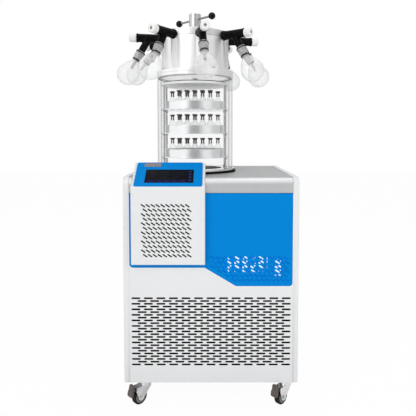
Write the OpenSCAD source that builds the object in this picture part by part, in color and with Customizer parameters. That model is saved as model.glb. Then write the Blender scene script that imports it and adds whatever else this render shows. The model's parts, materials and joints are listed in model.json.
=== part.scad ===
// Floor-standing laboratory freeze dryer with a clear stoppering chamber and an eight-port manifold.
// X is to the right, +Y to the back, +Z up. The origin is on the floor, under the centre of the bounding box.

/* [Cabinet] */
// Width over the side panels
cab_w = 600; // [500:10:800]
// Depth, front face to rear panel
cab_d = 550; // [500:10:700]
// Height of the cabinet body, without the casters
cab_h = 712; // [700:2:900]
// Thickness of the folded side panels
side_t = 20; // [12:1:30]
// Sheet metal thickness
sheet = 2; // [1.2:0.1:3]
// Radius of the top cover's rolled front edge
nose_r = 30; // [15:1:40]
// Depth of the top cover's front apron
apron_h = 52; // [45:1:80]
// Corner radius of the front panels
corner_r = 12; // [6:1:18]
// Gap between the two front panels
reveal = 1.6; // [1:0.1:3]
// Height of the blue panel's lower edge above the cabinet's underside, right of the step
blue_low = 338; // [320:1:360]
// Height of the blue panel's lower edge, left of the step
blue_high = 402; // [380:1:430]

/* [Vent slots] */
// Length of a lower vent slot
slot_l = 31; // [20:1:34]
// Height of a lower vent slot
slot_h = 6.2; // [3:0.2:7]
// Slots in a full row
slot_n = 13; // [5:1:13]
// Rows of slots
slot_rows = 25; // [5:1:25]
// Distance between rows
slot_row_pitch = 9.7; // [8:0.1:10]
// Length of a slanted vent slot
slant_l = 18; // [10:1:19]
// Width of a slanted vent slot
slant_w = 4.8; // [2:0.2:5.4]

/* [Control housing] */
// Width of the housing
house_w = 250; // [240:1:260]
// How far the housing stands out of the front
house_out = 20; // [10:1:22]
// Height of the housing's lower edge above the cabinet's underside
house_low = 418; // [412:1:440]
// Rise of the housing's top above the cabinet's top
house_rise = 46; // [30:1:60]
// Horizontal run of the sloped face
slope_run = 110; // [90:1:112]
// Vertical drop of the sloped face
slope_drop = 76; // [60:1:90]

/* [Casters] */
// Height from the floor to the cabinet's underside
caster_h = 83; // [76:1:100]
// Wheel diameter
wheel_d = 54; // [44:1:56]
// Wheel width
wheel_w = 20; // [14:1:22]
// Axle diameter
axle_d = 8; // [6:1:10]
// Wheel axle's distance from the swivel axis
trail = 25; // [18:1:28]
// Distance of the left casters' swivel axis from the cabinet's left side
caster_left = 67; // [50:1:90]
// Distance of the right casters' swivel axis from the cabinet's right side
caster_right = 38; // [30:1:90]
// Distance of the swivel axes from the front and rear faces
caster_in = 33; // [33:1:60]

/* [Chamber] */
// Distance of the chamber's axis to the left of the cabinet's middle
chamber_off = 63; // [40:1:80]
// Outer diameter of the acrylic cylinder
cyl_d = 297; // [285:1:300]
// Wall of the acrylic cylinder
cyl_wall = 12; // [8:0.5:14]
// Inner diameter of the cold trap
trap_d = 210; // [180:1:216]
// Depth of the cold trap
trap_h = 260; // [200:1:300]
// Ledge of the lid flange outside the manifold drum
lid_ledge = 17; // [14:0.5:22]
// Height of the manifold drum
drum_h = 150; // [130:1:180]
// Wall of the manifold drum
drum_wall = 3; // [2:0.5:5]
// Thickness of the lid flange
lid_t = 22; // [14:1:30]

/* [Rack and press] */
// Gap between a shelf's edge and the acrylic cylinder
shelf_gap = 3.5; // [2:0.5:10]
// Distance between shelves
shelf_pitch = 92; // [90:1:120]
// Height of the lowest shelf above the base plate
shelf_foot = 42; // [30:1:60]
// Space over the press plate, under the lid
rack_head = 19; // [16:1:40]
// Ledge of a shelf outside its tray
tray_ledge = 18; // [17:1:30]
// Height of a tray's rim
tray_h = 30; // [15:1:40]
// Guide rod diameter
rod_d = 8; // [6:1:10]
// Diameter of a vial
vial_d = 28; // [20:1:30]
// Height of a vial without its stopper
vial_h = 54; // [40:1:56]
// Travel of the press plate
press_travel = 18; // [5:1:18]
// Diameter of the press screw
screw_d = 18; // [12:1:20]
// Diameter of the T-handle's boss
boss_d = 46; // [36:1:50]
// Distance of a handle ball from the screw's axis
handle_reach = 92; // [70:1:100]
// Diameter of the handle bar
bar_d = 8; // [6:1:10]
// Diameter of a handle ball
ball_d = 27; // [20:1:32]

/* [Manifold valves] */
// Number of valves
valve_n = 8; // [8:1:8]
// Diameter of a valve's rubber body
body_d = 32; // [28:1:36]
// Outer diameter of the port that a valve fits over
port_d = 20; // [16:1:22]
// Diameter of the side arm
arm_d = 27; // [24:1:28]
// Slope of the side arm below the horizontal
arm_tilt = 60; // [55:1:65]
// Distance of the side arm's root from the drum's wall
arm_out = 48.5; // [44:0.5:58]
// Distance of the knob's face from the drum's wall
knob_out = 124.5; // [118:0.5:130]
// Diameter of a valve knob
knob_d = 33; // [28:1:36]
// Diameter of a flask's bulb
flask_d = 86; // [70:1:90]
// Wall of a flask
flask_wall = 2; // [1.5:0.1:3]
// Distance of a flask's centre along the side arm
flask_at = 160; // [158:1:170]

/* [Hidden] */

$fn = 48;
run = 0.06;           // running clearance on a radius
gap = 0.3;            // clearance between faces that move past each other
cut = 1;              // how far a cutter reaches past the face it opens

front = -cab_d / 2;
back = cab_d / 2;
under = caster_h;
top = under + cab_h;
in_w = cab_w - 2 * side_t;
apron_z = top - apron_h;

// chamber levels
gasket_t = 8;
gasket_d = cyl_d + 23;
plate_t = 6;
plate_d = cyl_d + 8;
plate_z = top + gasket_t;
cyl_z = plate_z + plate_t;
shelf_t = 3;
press_t = 8;
cyl_h = shelf_foot + 3 * shelf_pitch + shelf_t + press_t + rack_head;
cyl_top = cyl_z + cyl_h;
seal_t = 4;
lid_z = cyl_top + seal_t;
drum_d = cyl_d - 2 * lid_ledge;
drum_z = lid_z + lid_t;
drum_top = drum_z + drum_h;
bore_d = trap_d;      // the opening through the plate and the cover

// rack
shelf_d = cyl_d - 2 * cyl_wall - 2 * shelf_gap;
tray_d = shelf_d - 2 * tray_ledge;
shelf_z0 = cyl_z + shelf_foot;
press_z = shelf_z0 + 3 * shelf_pitch + shelf_t;
rod_x = shelf_d / 2 - 15;
rod_y = 45;
nut_af = 13;
nut_h = 6.5;
tray_wall = 1.5;

// valves
valve_z = drum_top - 21.5;
valve_turn = 10;                 // turn of the first valve from straight ahead, towards +X
function valve_az(i) = valve_turn + i * 360 / valve_n;
valve_swing = [0, 0, 0, 0, 0, 26, 0, 0];     // how far each valve is turned about its port
arm_at = drum_d / 2 + arm_out;
knob_at = drum_d / 2 + knob_out;
flask_out = arm_at + flask_at * cos(arm_tilt);
reach_x = flask_out * cos(valve_turn) + flask_d / 2;
// the chamber stands clear behind the control housing
house_clear = 15;
house_back = front - house_out + slope_run + 10;
chamber_y = house_back + house_clear + gasket_d / 2;
shift_x = (chamber_off + reach_x - cab_w / 2) / 2;

// the cabinet stands to one side of the origin, because the flasks reach past its left side
module at_cabinet() translate([shift_x, 0, 0]) children();
module at_chamber(z = 0) translate([shift_x - chamber_off, chamber_y, z]) children();

module rounded(size, r) {
    translate([r, 0]) square([size[0] - 2 * r, size[1]]);
    translate([0, r]) square([size[0], size[1] - 2 * r]);
    for (x = [r, size[0] - r], y = [r, size[1] - r]) translate([x, y]) circle(r);
}

module ring(d_out, d_in, h) difference() {
    cylinder(d = d_out, h = h);
    translate([0, 0, -cut]) cylinder(d = d_in, h = h + 2 * cut);
}

module slot(l, w) {
    square([l - w, w], center = true);
    for (s = [-1, 1]) translate([s * (l - w) / 2, 0]) circle(d = w, $fn = 16);
}

// stands a flat outline up in a front plane, its thickness going back
module upright(y, t) translate([0, y + t, 0]) rotate([90, 0, 0]) linear_extrude(t) children();

// ---- cabinet ----

// side view of a panel or the cover: back square, top front corner round
module side_profile(y0, y1, z0, z1, r) {
    translate([y0, z0]) square([y1 - y0, z1 - z0 - r]);
    translate([y0 + r, z0]) square([y1 - y0 - r, z1 - z0]);
    intersection() {
        translate([y0 + r, z1 - r]) circle(r);
        translate([y0, z1 - r]) square(r);
    }
}

// extrudes a side view (Y, Z) along X
module along_x(x0, len) translate([x0, 0, 0]) rotate([90, 0, 90]) linear_extrude(len) children();

module side_panel(side) at_cabinet() color("gainsboro") {
    x0 = side < 0 ? -cab_w / 2 : cab_w / 2 - side_t;
    pocket_x = side < 0 ? x0 + sheet : x0 - cut;
    difference() {
        along_x(x0, side_t) side_profile(front, back, under, top + 2, 25);
        along_x(pocket_x, side_t - sheet + cut)
            side_profile(front + side_t, back - side_t, under + side_t, top - side_t, 10);
    }
}

frame_t = 3;
frame_rail = 30;
module base_frame() at_cabinet() color("dimgray") {
    w = in_w - 2 * gap;
    d = cab_d - 3 * sheet - 2 * gap;
    translate([-w / 2, front + sheet + gap, under]) {
        cube([w, d, frame_t]);
        for (y = [0, d - frame_t]) translate([0, y, 0]) cube([w, frame_t, frame_rail]);
        for (x = [0, w - frame_t]) translate([x, 0, 0]) cube([frame_t, d, frame_rail]);
    }
}

inlet = [50, 58];
inlet_at = [150, under + 90];
port_at = [-150, under + 220];
port_bore = 25;
port_tube = 30;
port_flange = 40;
module rear_panel() at_cabinet() color("gainsboro") difference() {
    w = in_w - 2 * gap;
    translate([-w / 2, back - sheet, under]) cube([w, sheet, apron_z - reveal - under]);
    translate([inlet_at[0] - inlet[0] / 2, back - sheet - cut, inlet_at[1] - inlet[1] / 2])
        cube([inlet[0], sheet + 2 * cut, inlet[1]]);
    translate([port_at[0], back + cut, port_at[1]]) rotate([90, 0, 0])
        cylinder(d = port_tube + 2 * run, h = sheet + 2 * cut);
    for (row = [0:13], col = [-2:2])
        upright_at(col * 60, under + 380 + row * 18) linear_extrude(sheet + 2 * cut) slot(44, 6);
}
module upright_at(x, z) translate([x, back + cut, z]) rotate([90, 0, 0]) children();

// outline of the blue panel, grown by g; its lower edge steps down to the right along a slope
step_x0 = -22;
step_x1 = 85;
module blue_outline(g) {
    x0 = -in_w / 2 - g;
    x1 = in_w / 2 + g;
    z0 = under + blue_high - g;
    z1 = under + blue_low - g;
    z2 = apron_z - reveal + (g > 0 ? cab_h : 0);
    polygon([
        [x0, z2],
        for (a = [180:15:270]) [x0 + corner_r + corner_r * cos(a), z0 + corner_r + corner_r * sin(a)],
        [step_x0, z0], [step_x1, z1],
        for (a = [270:15:360]) [x1 - corner_r + corner_r * cos(a), z1 + corner_r + corner_r * sin(a)],
        [x1, z2]
    ]);
}

slant_pitch = [16.5, 15.4];
slant_tilt = -33;
slant_shift = 6.3;
// a field of slanted slots, alternate rows set over; the first slot of the lowest row is at the origin
module slant_field(cols, rows, keep = function(x, y) true) {
    for (r = [0:rows - 1], c = [0:cols - 1]) {
        x = c * slant_pitch[0] + (r % 2 == 0 ? slant_shift : 0);
        y = r * slant_pitch[1];
        if (keep(x, y)) translate([x, y]) rotate(slant_tilt) slot(slant_l, slant_w);
    }
}

blue_cols = 16;
blue_rows = 6;
blue_slots = [in_w / 2 - blue_cols * slant_pitch[0] - 10, under + blue_low + 22];
// where the stepped lower edge runs at the height z
function step_x(z) = step_x0 + (step_x1 - step_x0) * (under + blue_high - z) / (blue_high - blue_low);
module blue_front_panel() at_cabinet() color("dodgerblue") upright(front, sheet) difference() {
    blue_outline(-0.2);
    translate(blue_slots) slant_field(blue_cols, blue_rows,
        function(x, y) blue_slots[0] + x > step_x(blue_slots[1] + y) + slant_l + 6);
}

slot_pitch = (in_w - 44) / 12;
slots_z0 = 64;
module lower_front_panel() at_cabinet() color("gainsboro") upright(front, sheet) difference() {
    translate([-in_w / 2 + 0.2, under]) square([in_w - 0.4, apron_z - under - reveal]);
    intersection() {
        blue_outline(reveal);
        translate([-in_w, under]) square([2 * in_w, cab_h]);
    }
    for (r = [0:slot_rows - 1], c = [0:slot_n - 1 - r % 2])
        translate([(c - (slot_n - 1 - r % 2) / 2) * slot_pitch, under + slots_z0 + r * slot_row_pitch])
            slot(slot_l, slot_h);
}

module top_cover() at_cabinet() color("silver") difference() {
    along_x(-in_w / 2 + gap, in_w - 2 * gap) side_profile(front, back, apron_z, top, nose_r);
    along_x(-in_w / 2, in_w)
        side_profile(front + sheet, back - sheet, apron_z - cut, top - sheet, nose_r - sheet);
    translate([-chamber_off, chamber_y, top - nose_r]) cylinder(d = bore_d + 24, h = nose_r + cut);
    translate([house_x0 - gap, front - cut, apron_z - cut])
        cube([house_w + 2 * gap, hook_y + gap - front + cut, apron_h + 2 * cut]);
}

house_x0 = -cab_w / 2 + side_t + 10;
house_y = front - house_out;
house_z0 = under + house_low;
house_top = top + house_rise;
slope_z = house_top - slope_drop;
slope_y = house_back - 10;
slope_a = atan2(slope_drop, slope_run);
house_wall = 3;
hook_y = front + nose_r + 4;     // the housing hooks over the cabinet's front edge, in a notch of the cover
module house_side() {
    polygon([
        [house_y, house_z0], [house_y, slope_z], [slope_y, house_top],
        [house_back, house_top - 4], [house_back, top + gap], [hook_y, top + gap],
        [hook_y, apron_z + gap], [front - gap, apron_z + gap], [front - gap, house_z0]
    ]);
}
module house_hollow() {
    t = house_wall;
    polygon([
        [house_y + t, house_z0 + t], [house_y + t, slope_z - 1], [slope_y - 2, house_top - t - 2],
        [house_back - t, house_top - 4 - t], [house_back - t, top - cut],
        [hook_y + cut, top - cut], [hook_y + cut, apron_z - cut], [front + cut, apron_z - cut],
        [front + cut, house_z0 + t]
    ]);
}
// puts its children on the sloped face: x to the right, y up the slope, z out of it
module on_slope() translate([0, house_y, slope_z]) rotate([slope_a, 0, 0]) children();
screen_w = 167;
screen_h = 71;
screen_x = house_x0 + house_w / 2 - screen_w / 2 + 2;
screen_s = 20;
screen_t = 5;
vent_at = [42, 32];
vent_size = [slant_pitch[0] * 10 + 20, slant_pitch[1] * 12 + 16];
module control_housing() at_cabinet() color("gainsboro") {
    difference() {
        along_x(house_x0, house_w) house_side();
        along_x(house_x0 + house_wall, house_w - 2 * house_wall) house_hollow();
        translate([house_x0 + vent_at[0] - 18, house_y - cut, house_z0 + vent_at[1] - 14])
            cube([vent_size[0], house_wall + 2 * cut, vent_size[1]]);
        on_slope() translate([screen_x - gap, screen_s - gap, -12])
            cube([screen_w + 2 * gap, screen_h + 2 * gap, 20]);
    }
    // the slotted field of the front wall
    upright(house_y, house_wall) translate([house_x0 + vent_at[0], house_z0 + vent_at[1]]) difference() {
        translate([-18, -14]) square(vent_size);
        slant_field(10, 12);
    }
}
bezel_t = 2;
slope_l = slope_drop / sin(slope_a);
module bezel_panel() at_cabinet() color("dodgerblue") on_slope() difference() {
    translate([house_x0 + 9, 3, 0]) linear_extrude(bezel_t) rounded([house_w - 18, slope_l - 6], 8);
    translate([screen_x, screen_s, -cut]) cube([screen_w, screen_h, bezel_t + 2 * cut]);
}
module touch_screen() at_cabinet() color("black") on_slope()
    translate([screen_x + run, screen_s + run, bezel_t - screen_t - 0.6])
        cube([screen_w - 2 * run, screen_h - 2 * run, screen_t]);
module label_plate() at_cabinet() color("rosybrown") on_slope()
    translate([house_x0 + 36, slope_l - 28, bezel_t]) linear_extrude(0.8) rounded([58, 20], 1.5);

module control_board() at_cabinet() color("seagreen")
    translate([house_x0 + 30, front - 2.5 - 5, house_z0 + 60]) {
        cube([house_w - 60, 1.6, 150]);
        for (x = [10, 100], z = [12, 80]) translate([x, -5, z]) cube([45, 5, 26]);
    }

rocker_at = 16;
rocker_pin = 3;
module power_inlet() at_cabinet() color("black")
    translate([inlet_at[0], back - sheet, inlet_at[1]]) {
        difference() {
            union() {
                translate([-inlet[0] / 2 + gap, -26, -inlet[1] / 2 + gap])
                    cube([inlet[0] - 2 * gap, 26 + sheet, inlet[1] - 2 * gap]);
                translate([-inlet[0] / 2 - 4, sheet, -inlet[1] / 2 - 4])
                    cube([inlet[0] + 8, 3, inlet[1] + 8]);
            }
            translate([-13, -17, -21]) cube([26, 40, 22]);
            translate([-14, -12, rocker_at - 8]) cube([28, 40, 16]);
        }
        for (x = [-6, 0, 6]) translate([x, -18, x == 0 ? -6 : -13]) rotate([-90, 0, 0])
            cylinder(d = 2.4, h = 14, $fn = 16);
        translate([-15, sheet + 1.5, rocker_at]) rotate([0, 90, 0]) cylinder(d = rocker_pin, h = 30);
    }
module power_rocker() at_cabinet() color("darkslategray")
    translate([inlet_at[0], back + 1.5, inlet_at[1] + rocker_at]) rotate([0, 90, 0]) difference() {
        translate([0, 0, -12.5]) intersection() {
            cylinder(r = 6.8, h = 25);
            translate([-7, -4, 0]) cube([14, 12, 25]);
        }
        translate([0, 14.5, -13]) cylinder(r = 10.5, h = 26);
        translate([0, 0, -13]) cylinder(d = rocker_pin + 2 * run, h = 26);
    }
module vacuum_port() at_cabinet() color("silver")
    translate([port_at[0], back + 19, port_at[1]]) rotate([90, 0, 0]) difference() {
        union() {
            cylinder(d = port_flange, h = 4);
            translate([0, 0, 4]) cylinder(d1 = port_flange - 4, d2 = port_tube, h = 4);
            cylinder(d = port_tube, h = 79);
            translate([0, 0, 19 + sheet]) cylinder(d = port_flange, h = 4);
        }
        translate([0, 0, -cut]) cylinder(d = port_bore, h = 79 + 2 * cut);
    }

// ---- refrigeration ----

trap_wall = 2;
trap_rim = bore_d + 20;
module cold_trap() at_chamber() color("silver") difference() {
    union() {
        translate([0, 0, top - trap_h]) cylinder(d = trap_d + 2 * trap_wall, h = trap_h);
        translate([0, 0, top - 0.2]) cylinder(d = trap_rim, h = plate_z - top);
    }
    translate([0, 0, top - trap_h + trap_wall]) cylinder(d = trap_d, h = trap_h + gasket_t + cut);
}
coil_r = trap_d / 2 + trap_wall + 6;
coil_pipe = 10;
coil_turns = 9;
module evaporator_coil() at_chamber() color("peru") {
    for (k = [0:coil_turns - 1]) translate([0, 0, top - trap_h + 20 + k * 18])
        rotate_extrude() translate([coil_r, 0]) circle(d = coil_pipe, $fn = 24);
    translate([coil_r, 0, top - trap_h + 20]) cylinder(d = coil_pipe, h = (coil_turns - 1) * 18);
}
comp_at = [130, 110];
comp_d = 180;
comp_h = 210;
module compressor() at_cabinet() color("black") translate([comp_at[0], comp_at[1], under + frame_t]) {
    for (x = [-70, 70], y = [-70, 70]) translate([x, y, 0]) cylinder(d = 26, h = 18);
    translate([-88, -88, 18]) cube([176, 176, 4]);
    translate([0, 0, 22]) cylinder(d = comp_d, h = comp_h - 60);
    translate([0, 0, comp_h - 38]) intersection() {
        sphere(d = comp_d);
        cylinder(d = comp_d, h = 45);
    }
}
core = [340, 44, 280];
core_at = [-190, front + 30, under + 40];
module condenser_core() at_cabinet() color("darkgray") translate(core_at) {
    for (x = [0, core[0] - 2]) translate([x, 0, 0]) cube([2, core[1], core[2]]);
    for (k = [0:27]) translate([2, 4, 8 + k * 9.8]) cube([core[0] - 4, core[1] - 8, 1]);
    for (k = [0:9]) translate([30 + k * 31, core[1] / 2, 0]) cylinder(d = 10, h = core[2], $fn = 24);
}
fan_d = 230;
fan_at = [core_at[0] + core[0] / 2, core_at[1] + core[1], core_at[2] + core[2] / 2];
shroud_depth = 46;
module fan_shroud() at_cabinet() color("dimgray") translate(fan_at) rotate([-90, 0, 0]) difference() {
    translate([-core[0] / 2, -core[2] / 2, 0]) cube([core[0], core[2], shroud_depth]);
    translate([0, 0, -cut]) cylinder(d = fan_d + 12, h = shroud_depth + 2 * cut);
}
motor_y = fan_at[1] + shroud_depth;
module fan_motor() at_cabinet() color("gray") translate([fan_at[0], motor_y, fan_at[2]]) rotate([-90, 0, 0]) {
    cylinder(d = 70, h = 60);
    translate([0, 0, -36]) cylinder(d = 8, h = 40);
    for (a = [45, 135]) rotate(a) translate([-fan_d / 2 - 16, -5, 0]) cube([fan_d + 32, 10, 4]);
}
module fan_blades() at_cabinet() color("dimgray")
    translate([fan_at[0], motor_y - 38, fan_at[2]]) rotate([-90, 0, 0]) difference() {
        union() {
            cylinder(d = 46, h = 30);
            for (k = [0:4]) rotate(k * 72) translate([20, 0, 15]) rotate([28, 0, 0])
                translate([0, -22, -1]) cube([fan_d / 2 - 22, 44, 2]);
        }
        translate([0, 0, -cut]) cylinder(d = 8 + 2 * run, h = 32);
    }

// ---- casters ----

caster_plate_t = 4;
caster_plate = [44, 56];
kingpin_d = 10;
head_h = 14;
// swivel axes: front left, front right, rear left, rear right, with the direction that each trails in
caster_xy = [
    [caster_left - cab_w / 2, front + caster_in], [cab_w / 2 - caster_right, front + caster_in],
    [caster_left - cab_w / 2, back - caster_in], [cab_w / 2 - caster_right, back - caster_in]
];
trail_a = [225, 225, 225, 225];
module at_caster(i) at_cabinet() translate([caster_xy[i][0], caster_xy[i][1], 0]) children();
// x runs along the trail, y along the axle
module along_trail(i) at_caster(i) rotate(trail_a[i]) children();

module caster_plates() color("silver") for (i = [0:3]) at_caster(i) difference() {
    translate([-caster_plate[0] / 2, -caster_plate[1] / 2, caster_h - caster_plate_t])
        cube([caster_plate[0], caster_plate[1], caster_plate_t]);
    translate([0, 0, caster_h - caster_plate_t - cut])
        cylinder(d = kingpin_d + 2 * run, h = caster_plate_t + 2 * cut);
    for (x = [-15, 15], y = [-21, 21]) translate([x, y, caster_h - caster_plate_t - cut])
        cylinder(d = 6.4, h = caster_plate_t + 2 * cut);
}

fork_in = wheel_w / 2 + 1;
fork_t = 2.5;
fork_top = caster_h - caster_plate_t - gap - head_h;
pedal_pin = 5;
pedal_pin_at = [trail + 14, fork_top - 8.3];
module caster_fork(i) along_trail(i) color("lightgray") {
    // swivel head and kingpin
    difference() {
        union() {
            translate([0, 0, fork_top]) cylinder(d = 40, h = head_h - 4);
            translate([0, 0, fork_top + head_h - 4]) cylinder(d1 = 40, d2 = 32, h = 4);
            translate([0, 0, fork_top]) cylinder(d = kingpin_d, h = head_h + caster_plate_t + gap - 0.5);
            translate([-16, -fork_in - fork_t, fork_top - fork_t])
                cube([trail + 36, 2 * (fork_in + fork_t), fork_t]);
        }
        translate([0, 0, fork_top - fork_t - cut]) cylinder(d = 4, h = 8);
    }
    // legs
    for (s = [-1, 1]) translate([0, s * (fork_in + fork_t / 2) + fork_t / 2, 0]) rotate([90, 0, 0])
        linear_extrude(fork_t) {
            polygon([
                [-16, fork_top], [-16, fork_top - 10], [trail - 11, wheel_d / 2 - 3],
                [trail + 11, wheel_d / 2 - 3], [trail + 20, fork_top - 14], [trail + 20, fork_top]
            ]);
            translate([trail, wheel_d / 2]) circle(r = 11);
        }
    // axle and pedal pin
    translate([trail, 0, wheel_d / 2]) rotate([90, 0, 0]) {
        cylinder(d = axle_d, h = 2 * (fork_in + fork_t) + 6, center = true);
        for (s = [-1, 1]) translate([0, 0, s * (fork_in + fork_t + 2.25)])
            cylinder(d = 13, h = 4.5, center = true, $fn = 6);
    }
    if (i < 2) translate([pedal_pin_at[0], 0, pedal_pin_at[1]]) rotate([90, 0, 0])
        cylinder(d = pedal_pin, h = 2 * (fork_in + fork_t), center = true);
}

tyre_t = 7;
module caster_wheel(i) along_trail(i) color("dimgray")
    translate([trail, 0, wheel_d / 2]) rotate([90, 0, 0]) difference() {
        r = wheel_d / 2;
        w = wheel_w / 2;
        rotate_extrude() difference() {
            union() {
                translate([axle_d / 2 + run, -w]) square([r - 3 - axle_d / 2 - run, 2 * w]);
                translate([0.5 + axle_d / 2, -w + 3]) square([r - 0.5 - axle_d / 2, 2 * w - 6]);
                for (s = [-1, 1]) translate([r - 3, s * (w - 3)]) circle(r = 3);
            }
            for (s = [-1, 1]) translate([axle_d / 2 + 4, s > 0 ? w - 3 : -w - 0.1])
                square([r - tyre_t - axle_d / 2 - 4, 3.1]);
        }
        cylinder(d = axle_d + 2 * run, h = wheel_w + 2 * cut, center = true);
    }

pedal_w = 27;
pedal_out = trail + wheel_d / 2 + 4;
module brake_pedal(i) along_trail(i) color("dimgray") difference() {
    union() {
        // ring on the pin, arm over the wheel, and the two-lobed pad that the foot presses
        translate([pedal_pin_at[0], 0, pedal_pin_at[1]]) rotate([90, 0, 0])
            cylinder(d = pedal_pin + 5, h = 2 * fork_in - 1.2, center = true);
        translate([pedal_pin_at[0], -8, pedal_pin_at[1] - 2])
            cube([pedal_out - pedal_pin_at[0] + 2, 16, 5]);
        translate([pedal_out, 0, pedal_pin_at[1] + 3]) rotate([0, -14, 0]) rotate([90, 0, 90])
            linear_extrude(6) {
                translate([-pedal_w / 2 + 2, -2]) rounded([pedal_w - 4, 20], 5);
                translate([-pedal_w / 2, -22]) rounded([pedal_w, 22], 6);
            }
    }
    translate([pedal_pin_at[0], 0, pedal_pin_at[1]]) rotate([90, 0, 0])
        cylinder(d = pedal_pin + 2 * run, h = 40, center = true);
}

// ---- chamber ----

module base_gasket() at_chamber(top) color("black") difference() {
    cylinder(d = gasket_d, h = gasket_t);
    translate([0, 0, -cut]) cylinder(d = trap_rim + 1, h = gasket_t + 2 * cut);
}
module base_plate() at_chamber(plate_z) color("silver") {
    ring(plate_d, bore_d, plate_t);
}
module acrylic_cylinder() at_chamber(cyl_z) color("aliceblue", 0.4)
    ring(cyl_d, cyl_d - 2 * cyl_wall, cyl_h);
module lid_gasket() at_chamber(cyl_top) color("black")
    ring(cyl_d - 8, cyl_d - 2 * cyl_wall, seal_t);
module lid_flange() at_chamber(lid_z) color("silver") difference() {
    cylinder(d = cyl_d + 2, h = lid_t);
    translate([0, 0, -cut]) cylinder(d = drum_d - 2 * drum_wall - 10, h = lid_t + 2 * cut);
    translate([0, 0, lid_t / 2 - 1]) ring(cyl_d + 10, cyl_d - 3, 2);
}

gland_d = 36;
gland_h = 5;
port_bore_d = 12;
port_out = 34;
module manifold_drum() at_chamber(drum_z) color("silver") difference() {
    union() {
        cylinder(d = drum_d, h = drum_h);
        translate([0, 0, drum_h]) cylinder(d = gland_d, h = gland_h);
        for (i = [0:valve_n - 1]) rotate(valve_az(i) - 90)
            translate([drum_d / 2 - 4, 0, valve_z - drum_z]) rotate([0, 90, 0])
                cylinder(d = port_d, h = port_out);
    }
    translate([0, 0, -cut]) cylinder(d = drum_d - 2 * drum_wall, h = drum_h - 5 + cut);
    translate([0, 0, drum_h - 6]) cylinder(d = screw_d + 2 * run, h = gland_h + 8);
    for (i = [0:valve_n - 1]) rotate(valve_az(i) - 90)
        translate([drum_d / 2 - 12, 0, valve_z - drum_z]) rotate([0, 90, 0])
            cylinder(d = port_bore_d, h = port_out + 20);
}

lid_nut_r = (cyl_d + drum_d) / 4 + 0.5;
module flange_nuts() at_chamber(drum_z) color("silver")
    for (k = [0:3]) rotate(k * 90 + 31 - 90) translate([lid_nut_r, 0, 0]) {
        cylinder(d = nut_af / cos(30) - 3, h = 6, $fn = 6);
        translate([0, 0, 6]) cylinder(d = 9, h = 3);
        translate([0, 0, 9]) sphere(d = 9);
    }

module at_rods() for (x = [-1, 1], y = [-1, 1]) translate([x * rod_x, y * rod_y, 0]) children();

// rods with a nut under each shelf and one under the rod's top end
module guide_rods() at_chamber(cyl_z) color("silver") at_rods() {
    cylinder(d = rod_d, h = press_z + press_t + 12 - cyl_z);
    for (k = [0:2]) translate([0, 0, shelf_z0 - cyl_z + k * shelf_pitch - nut_h])
        cylinder(d = nut_af, h = nut_h, $fn = 6);
    cylinder(d = 14, h = 6);
}
module rack_shelves() at_chamber() color("silver") for (k = [0:2])
    translate([0, 0, shelf_z0 + k * shelf_pitch]) difference() {
        cylinder(d = shelf_d, h = shelf_t);
        at_rods() translate([0, 0, -cut]) cylinder(d = rod_d + 2 * run, h = shelf_t + 2 * cut);
    }
module product_trays() at_chamber() color("silver") for (k = [0:2])
    translate([0, 0, shelf_z0 + shelf_t + k * shelf_pitch]) difference() {
        cylinder(d = tray_d, h = tray_h);
        translate([0, 0, tray_wall]) cylinder(d = tray_d - 2 * tray_wall, h = tray_h);
    }

// two rows of vials on a tray, each as long as the tray's rim lets it be
vial_pitch = vial_d + 2;
vial_rows = [for (y = [-50, 0]) let (
    half = sqrt(pow(tray_d / 2 - tray_wall, 2) - pow(abs(y) + vial_d / 2, 2))
) [floor(2 * half / vial_pitch - 0.5), y]];
vial_z0 = shelf_z0 + shelf_t + tray_wall;
module at_vials() for (k = [0:2], row = vial_rows, c = [0:row[0] - 1])
    translate([(c - (row[0] - 1) / 2) * vial_pitch, row[1], vial_z0 + k * shelf_pitch]) children();
neck_d = 20;
neck_bore = 13;
vial_wall = 1.4;
module vials() at_chamber() color("aliceblue", 0.5) at_vials() rotate_extrude() {
    r = vial_d / 2;
    polygon([
        [0, 0], [r, 0], [r, vial_h - 16], [neck_d / 2 - 2, vial_h - 8], [neck_d / 2 - 2, vial_h - 4],
        [neck_d / 2, vial_h - 4], [neck_d / 2, vial_h], [neck_bore / 2, vial_h], [neck_bore / 2, vial_h - 9],
        [r - vial_wall, vial_h - 17], [r - vial_wall, 2], [0, 2]
    ]);
}
stopper_up = 12;      // how far a half-inserted stopper stands out of its vial
stopper_cap = 5;
module stoppers() at_chamber() color("dimgray") at_vials() translate([0, 0, vial_h]) {
    translate([0, 0, stopper_up]) cylinder(d = neck_d - 1, h = stopper_cap);
    difference() {
        translate([0, 0, -5]) cylinder(d = neck_bore - 2 * run, h = stopper_up + 5);
        translate([-2, -neck_bore, -5 - cut]) cube([4, 2 * neck_bore, stopper_up + 3]);
    }
}

// ---- press ----

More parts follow.
